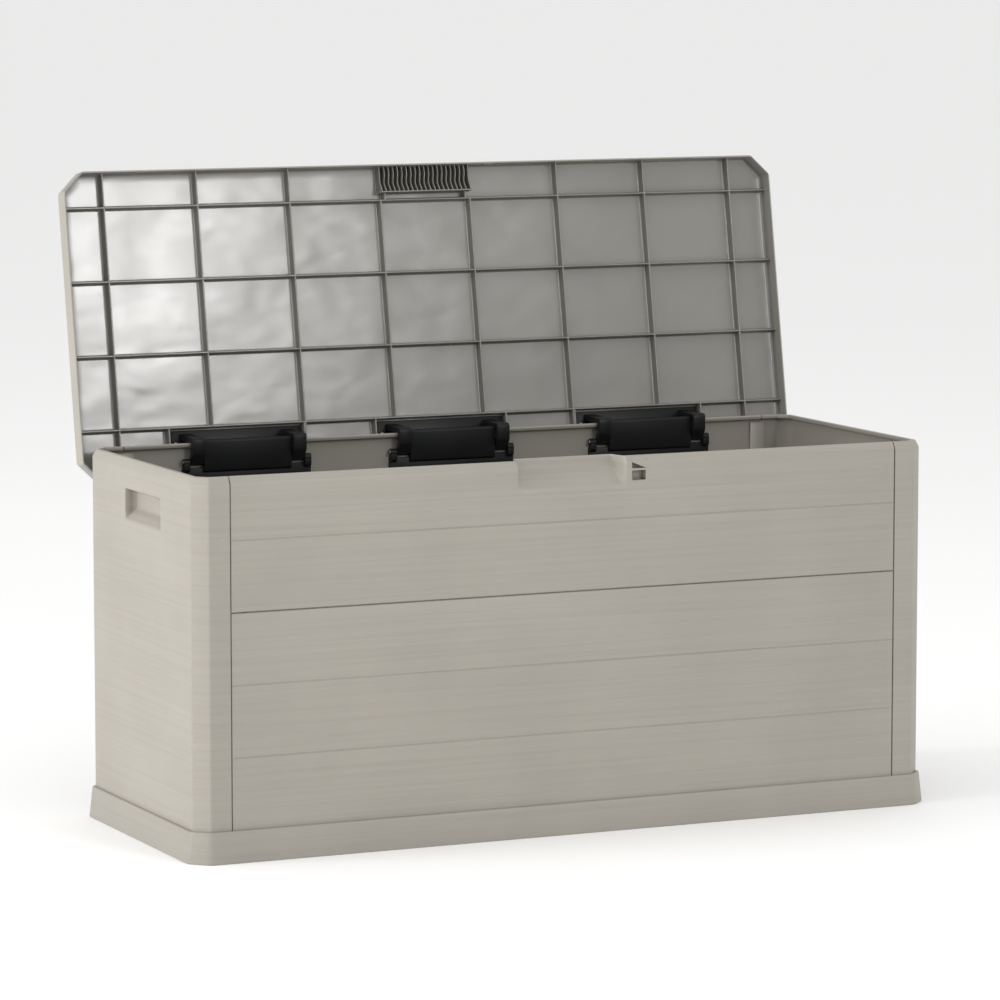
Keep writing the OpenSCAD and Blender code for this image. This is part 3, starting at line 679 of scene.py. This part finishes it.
loft(lid, [lid_ring(o, z) for o, z in LID_OUT + LID_IN])
lid = less(lid, lid_cutter())
for f in lid.faces:
    c = f.calc_center_median()
    within = abs(c.x) < LID_W - 2.0 and abs(c.y) < LID_D - 2.0
    f.material_index = int(within and max(v.co.z for v in f.verts) < SKIN_Z + 0.1)


def rib(bm, p0, p1, tip=RIB_TIP, root=1.9, edge=1.15, fillet=True):
    """A drafted rib hanging from the lid's skin between two points (x, y)."""
    a, b = Vector(p0), Vector(p1)
    side = Vector((-(b - a).y, (b - a).x)).normalized()
    r = RIB_FILLET if fillet else root
    profile = [(-r, SKIN_Z + 1), (-r, SKIN_Z), (-root - 0.3, SKIN_Z - 1.6), (-edge, tip + 1.0),
               (-edge * 0.6, tip + 0.2), (0, tip), (edge * 0.6, tip + 0.2), (edge, tip + 1.0),
               (root + 0.3, SKIN_Z - 1.6), (r, SKIN_Z), (r, SKIN_Z + 1)]
    rings = [[(*(p + side * o), z) for o, z in profile] for p in (a, b)]
    made = loft(bm, rings, material=1)
    for flank in (made[2], made[7]):  # the two tall faces of the profile, given a darker colour as painted shade
        flank.material_index = 2


edge_x, edge_y = LID_W - 2.2, LID_D - 2.2
for y in LONG_RIBS:
    rib(lid, (-edge_x, y), (edge_x, y))
blocked = [(x - HINGE_HALF - 3, x + HINGE_HALF + 3) for x in HINGE_X.values()]
for k in range(4):
    for side in (-1, 1):
        x = side * (k + 0.5) * RIB_PITCH
        start = LONG_RIBS[0] if k == 0 else -edge_y
        stop = LONG_RIBS[3] if any(a < x < b for a, b in blocked) else edge_y
        rib(lid, (x, start), (x, stop))
for x in HINGE_X.values():
    for side in (-1, 1):
        beside = x + side * (HINGE_HALF + 3.3)
        rib(lid, (beside, LONG_RIBS[3]), (beside, edge_y))
    block(lid, (x - HINGE_HALF, LONG_RIBS[3] + 2.2, PAD_Z), (x + HINGE_HALF, LID_D - 1.5, SKIN_Z + 1),
          0.6, material=1)

COMB_HALF, COMB_BACK, COMB_RAMP, COMB_DEEP = 73.0, -187.0, 18.0, 533.4
COMB_SLOTS, COMB_BEND = 20, 1.1
SHORT_RIB_X = 66


def fin(x, bend):
    """One fin of the comb grip, bent in a slight S along its length."""
    rings = []
    for k in range(9):
        t = k / 8
        y = -edge_y + (COMB_BACK + edge_y) * t
        dx = bend * math.sin(2 * math.pi * t)
        down = smooth((y - COMB_BACK) / COMB_RAMP + 1)
        tip = RIB_TIP + (COMB_DEEP - RIB_TIP) * down
        rings.append([(x + dx + o, y, z) for o, z in
                      ((-1.3, SKIN_Z + 1), (-0.85, tip + 0.8), (-0.4, tip), (0.4, tip), (0.85, tip + 0.8),
                       (1.3, SKIN_Z + 1))])
    for i, f in enumerate(loft(lid, rings, material=1)[:-2]):
        if i % 6 in (0, 4):  # the two tall faces of a profile of six points, given a darker colour as painted shade
            f.material_index = 2


for k in range(COMB_SLOTS + 1):
    fin(-COMB_HALF + k * 2 * COMB_HALF / COMB_SLOTS, COMB_BEND if 0 < k < COMB_SLOTS else 0)
rib(lid, (-COMB_HALF - 1, COMB_BACK), (COMB_HALF + 1, COMB_BACK),
    tip=COMB_DEEP, root=1.5, edge=1.1, fillet=False)
for x in (-SHORT_RIB_X, SHORT_RIB_X):
    rib(lid, (x, COMB_BACK), (x, LONG_RIBS[0]), fillet=False)

make("lid_visual", lid, "lid", "greige_plastic", [outside, glossy, rib_flank_painted_shade], "lid", opened=True)


# ---- hinges ----

def opened(a, b):
    """A point of the closed lid, from the hinge axis, where it lies on the open lid."""
    return (AXIS_Y + a * math.cos(OPEN) + b * math.sin(OPEN),
            AXIS_Z + b * math.cos(OPEN) - a * math.sin(OPEN))


def arm_profile():
    """Goose-neck side view: up inside the rim, over it and across to the plate."""
    def at(v, b):
        return opened((b * math.cos(OPEN) - v) / math.sin(OPEN), b)
    b = PLATE_Z - AXIS_Z + 2
    low, high = at(28.3, b), at(36.3, b)
    local = [(-5, 0), (-12.6, 11.0), (-13, 13.5), (-13, 30.5)]
    local += [(-13 + 5.5 * (1 - math.cos(t)), 30.8 + 5.5 * math.sin(t)) for t in (0.4, 0.8, 1.2, 1.57)]
    points = [(AXIS_Y + y, AXIS_Z + z) for y, z in local]
    points += [high, low, (AXIS_Y - 2.2, AXIS_Z + 28.3), (AXIS_Y - 4, AXIS_Z + 26.5),
               (AXIS_Y - 4, AXIS_Z + 15.4), (AXIS_Y + 3, AXIS_Z + 4), (AXIS_Y, AXIS_Z - 1)]
    return points


KNUCKLE = 5.0
ARM_X, ARM_HALF = 80, 10
LUG_X, LUG_HALF = (64.0, 95.75), 5.0
SADDLE_HALF = 69.2
PIN_ENDS = (60.0, 101.0)
LEAF_Y = 205
for where, x in HINGE_X.items():
    leaf = bmesh.new()
    for side in (-1, 1):
        mid = x + side * ARM_X
        prism_x(leaf, arm_profile(), mid - ARM_HALF, mid + ARM_HALF, 0.9)
        drum_x(leaf, mid - ARM_HALF, mid + ARM_HALF, AXIS_Y, AXIS_Z, KNUCKLE)
    plate = bmesh.new()
    y0, y1 = LONG_RIBS[3] + 4.4, LID_D - 7
    block(plate, (x - HINGE_HALF + 1, y0, PLATE_Z), (x + HINGE_HALF - 1, y1, PAD_Z), 0.9)
    plate.transform(open_turn())
    merge(leaf, plate)
    make(f"{where}_hinge_lid_leaf_visual", leaf, "lid", "black_plastic", [black], f"{where}_hinge_lid_leaf")

    wall = bmesh.new()
    block(wall, (x - HINGE_HALF + 2, LEAF_Y, PAD_LOW), (x + HINGE_HALF - 2, LEAF_Y + 4, PAD_HIGH), 0.9)
    lug = [(200.2, AXIS_Z), (200.2, 500), (205.5, 496), (208.8, 496), (208.8, 505), (207, AXIS_Z)]
    for side in (-1, 1):
        for centre in (x + side * off for off in LUG_X):
            prism_x(wall, lug, centre - LUG_HALF, centre + LUG_HALF, 0.5)
            drum_x(wall, centre - LUG_HALF, centre + LUG_HALF, AXIS_Y, AXIS_Z, KNUCKLE)
    y_in, y_out = HALF_D - 15.4, HALF_D + 0.2
    low = 495.5
    saddle = [(LEAF_Y, low), (LEAF_Y, PAD_HIGH), (y_in + 3, PAD_HIGH), (y_in + 3, 540.25),
              (y_out, 540.25), (y_out, 524), (y_out + 2.1, 524), (y_out + 2.1, 541.4),
              (y_out + 0.6, 543.2), (y_in + 2, 543.2), (y_in, 541.4), (y_in, low + 3)]
    prism_x(wall, saddle, x - SADDLE_HALF, x + SADDLE_HALF, 0.5)
    make(f"{where}_hinge_wall_leaf_visual", wall, "box", "black_plastic", [black], f"{where}_hinge_wall_leaf")

    pins = bmesh.new()
    for side in (-1, 1):
        a, b = sorted(x + side * end for end in PIN_ENDS)
        drum_x(pins, a, b, AXIS_Y, AXIS_Z, 2.45, 0.4, 24)
    make(f"{where}_hinge_pins_visual", pins, "box", "zinc_steel", [steel], f"{where}_hinge_pins")


def screw_mesh(length):
    """A pan-head screw along -Z to +Z: domed head with a cross recess, and a plain shank."""
    bm = bmesh.new()
    sides = 24
    stack = [(0.9, -2.25), (2.4, -2.15), (3.4, -1.7), (3.9, -0.9), (4.0, -0.1), (3.9, 0),
             (2.0, 0), (2.0, length - 2), (0.4, length)]
    rings = [[(r * math.cos(2 * math.pi * k / sides), r * math.sin(2 * math.pi * k / sides), z)
              for k in range(sides)] for r, z in stack]
    loft(bm, rings)
    return bm


def recess_bar(half_x, half_y):
    """A bar that cuts one arm of the cross recess."""
    bm = bmesh.new()
    block(bm, (-half_x, -half_y, -4), (half_x, half_y, -1.0), 0.0)
    return bm


def one_screw(length):
    """The recess is cut one bar at a time: bars that cross leave the boolean with nothing."""
    reach, half_t = 2.1, 0.45
    slotted = less(screw_mesh(length), recess_bar(reach, half_t))
    return less(slotted, recess_bar(half_t, reach))


SCREW_X = (-96, -52, 52, 96)
WALL_SCREW_L, LID_SCREW_L = 8.8, 8.5
WALL_SCREW_Z, LID_SCREW_Y = 473.6, 177


def screws(x, kind):
    """The four screws of one hinge leaf, each stopped at another turn."""
    group = bmesh.new()
    for dx in SCREW_X:
        if kind == "wall":
            part = one_screw(WALL_SCREW_L)
            place = (Matrix.Translation((x + dx, LEAF_Y, WALL_SCREW_Z))
                     @ Matrix.Rotation(-math.pi / 2, 4, "X"))
        else:
            part = one_screw(LID_SCREW_L)
            place = Matrix.Translation((x + dx, LID_SCREW_Y, PLATE_Z))
        part.transform(place @ Matrix.Rotation(math.radians(17 * (dx % 5) + 8), 4, "Z"))
        merge(group, part)
    return group


for where, x in HINGE_X.items():
    make(f"{where}_hinge_wall_screws_visual", screws(x, "wall"), "box", "zinc_steel", [steel],
         f"{where}_hinge_wall_screws")
    make(f"{where}_hinge_lid_screws_visual", screws(x, "lid"), "lid", "zinc_steel", [steel],
         f"{where}_hinge_lid_screws", opened=True)


# ---- floor, light and camera ----

def backdrop():
    """The pale floor, wide enough to reach past every view."""
    half_size = 150
    bm = bmesh.new()
    bmesh.ops.create_grid(bm, x_segments=4, y_segments=4, size=half_size)
    mesh = bpy.data.meshes.new("floor")
    bm.to_mesh(mesh)
    bm.free()
    obj = bpy.data.objects.new("floor", mesh)
    bpy.context.scene.collection.objects.link(obj)
    m, nodes, links, bsdf = shader("pale_floor")
    bsdf.inputs["Base Color"].default_value = (0.97, 0.97, 0.965, 1)
    bsdf.inputs["Roughness"].default_value = 0.75
    mesh.materials.append(m)


def area(name, place, target, size, power):
    """A white rectangular light that faces its target."""
    data = bpy.data.lights.new(name, "AREA")
    data.shape, data.size, data.size_y = "RECTANGLE", size[0], size[1]
    data.energy = power
    obj = bpy.data.objects.new(name, data)
    obj.location = place
    obj.rotation_euler = (Vector(target) - Vector(place)).to_track_quat("-Z", "Y").to_euler()
    bpy.context.scene.collection.objects.link(obj)


backdrop()
area("left_window", (-6.0, 0.3, 2.0), (0, 0, 0.4), (3.2, 3.0), 240)
area("lid_softbox", (1.3, -5.0, 2.45), (-0.3, 0.25, 0.75), (1.1, 1.2), 56)
area("top_soft", (0.4, -0.6, 4.6), (0, 0, 0.3), (4.0, 3.5), 20)
world = bpy.data.worlds.new("studio")
bpy.context.scene.world = world
world.use_nodes = True
world.node_tree.nodes["Background"].inputs["Color"].default_value = (1, 1, 1, 1)
world.node_tree.nodes["Background"].inputs["Strength"].default_value = 0.85
bpy.context.scene.view_settings.view_transform = "Standard"

camera = bpy.data.cameras.new("camera")
camera.lens, camera.sensor_width = 177.95, 36.0
camera.clip_end = 400
eye = bpy.data.objects.new("camera", camera)
eye.location = (-3.016, -6.51, 1.332)
eye.rotation_euler = (math.radians(83.051), 0, math.radians(-24.75))
bpy.context.scene.collection.objects.link(eye)
bpy.context.scene.camera = eye
